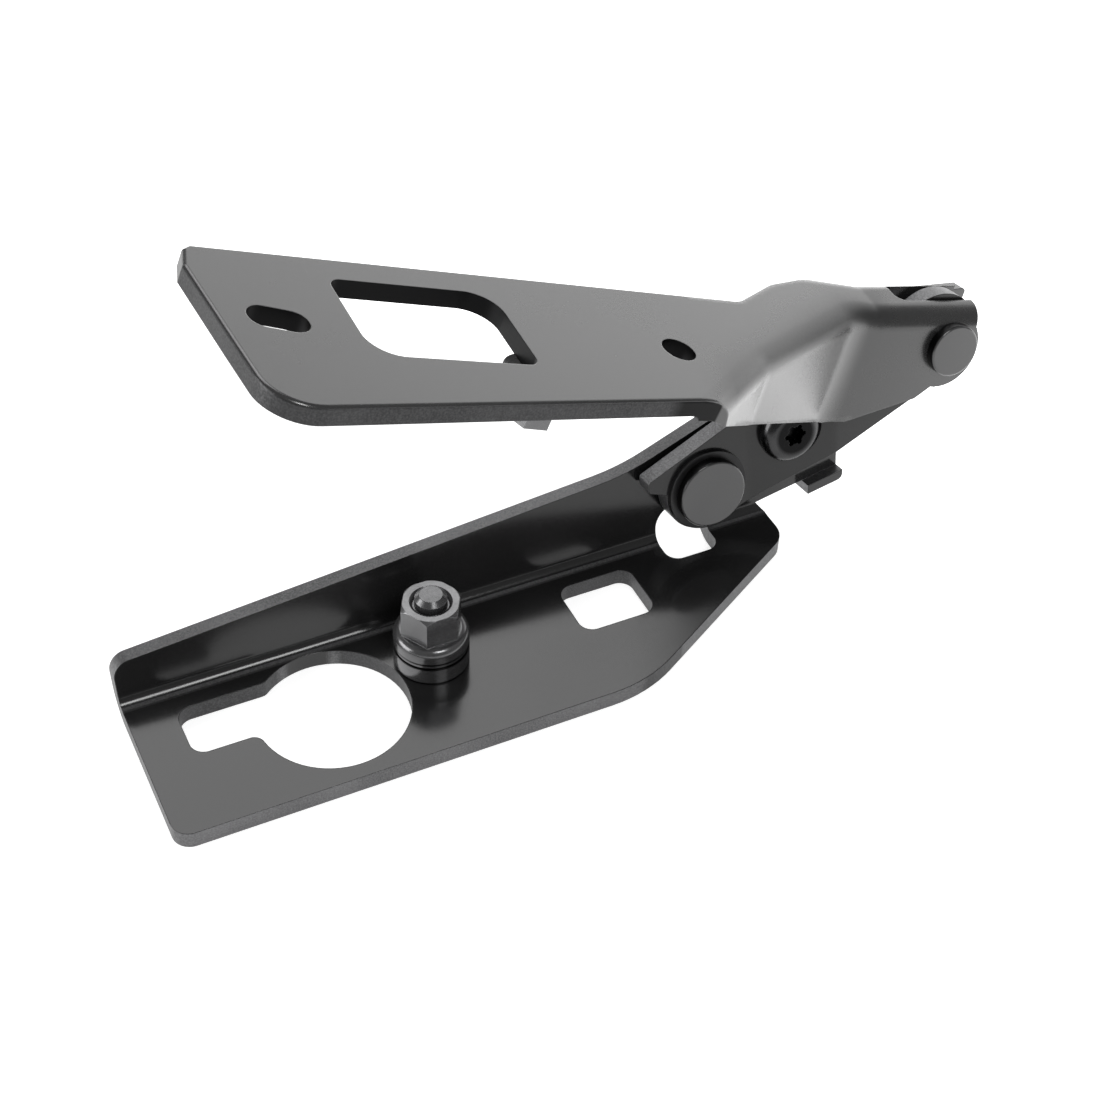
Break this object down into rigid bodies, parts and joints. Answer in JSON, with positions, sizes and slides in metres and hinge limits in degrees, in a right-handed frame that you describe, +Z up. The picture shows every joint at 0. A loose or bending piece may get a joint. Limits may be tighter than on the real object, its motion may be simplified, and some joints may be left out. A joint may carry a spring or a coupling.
{
  "type": "bonnet hinge",
  "caption": "Sheet-steel bonnet hinge: a flanged body bracket, a joggled link and a bonnet arm with a clevis end, joined by two riveted pivots.",
  "frame": {"origin": "centre of the keyhole's round end, on the bracket's underside", "axes": "+X along the bend toward the pivots, +Y from the plate's free edge toward the flange, +Z up from the body the bracket is bolted to"},
  "size_m": [0.2062, 0.0673, 0.1165],
  "materials": {
    "bracket_paint": "semi-gloss black dip coating on pressed steel",
    "link_paint": "semi-gloss black dip coating on pressed steel",
    "arm_paint": "satin black dip coating on pressed steel",
    "rivet_paint": "satin black coated rivet",
    "bush_steel": "dark coated steel bush",
    "thread_steel": "black zinc-plated thread",
    "fastener_steel": "black zinc-plated nut and washers",
    "screw_black": "black button-head screw"
  },
  "bodies": {
    "bracket": {"body_bracket": "bracket_paint", "lower_pivot_rivet": "rivet_paint", "lower_pivot_spacer": "bush_steel", "mounting_stud": "thread_steel", "flat_washer": "fastener_steel", "thin_washer": "fastener_steel", "collar_nut": "fastener_steel", "shear_screw_shank": "thread_steel", "weld_nut": "fastener_steel"},
    "link": {"pivot_link": "link_paint", "lower_pivot_bush": "bush_steel", "upper_pivot_bush": "bush_steel", "shear_screw_head": "screw_black"},
    "arm": {"bonnet_arm": "arm_paint", "upper_pivot_rivet": "rivet_paint", "arm_stud": "thread_steel", "arm_washer": "fastener_steel", "arm_nut": "fastener_steel"}
  },
  "joints": [
    {"name": "link_lift", "type": "hinge", "parent": "bracket", "child": "link", "pos_m": [0.0965, 0.00355, 0.02134], "axis": [0, -0.9796, 0.2007], "range_deg": [0, 15]},
    {"name": "bonnet_pivot", "type": "hinge", "parent": "link", "child": "arm", "pos_m": [0.1538, 0.00845, 0.04524], "axis": [0, 0.9796, -0.2007], "range_deg": [-21, 45]}
  ]
}
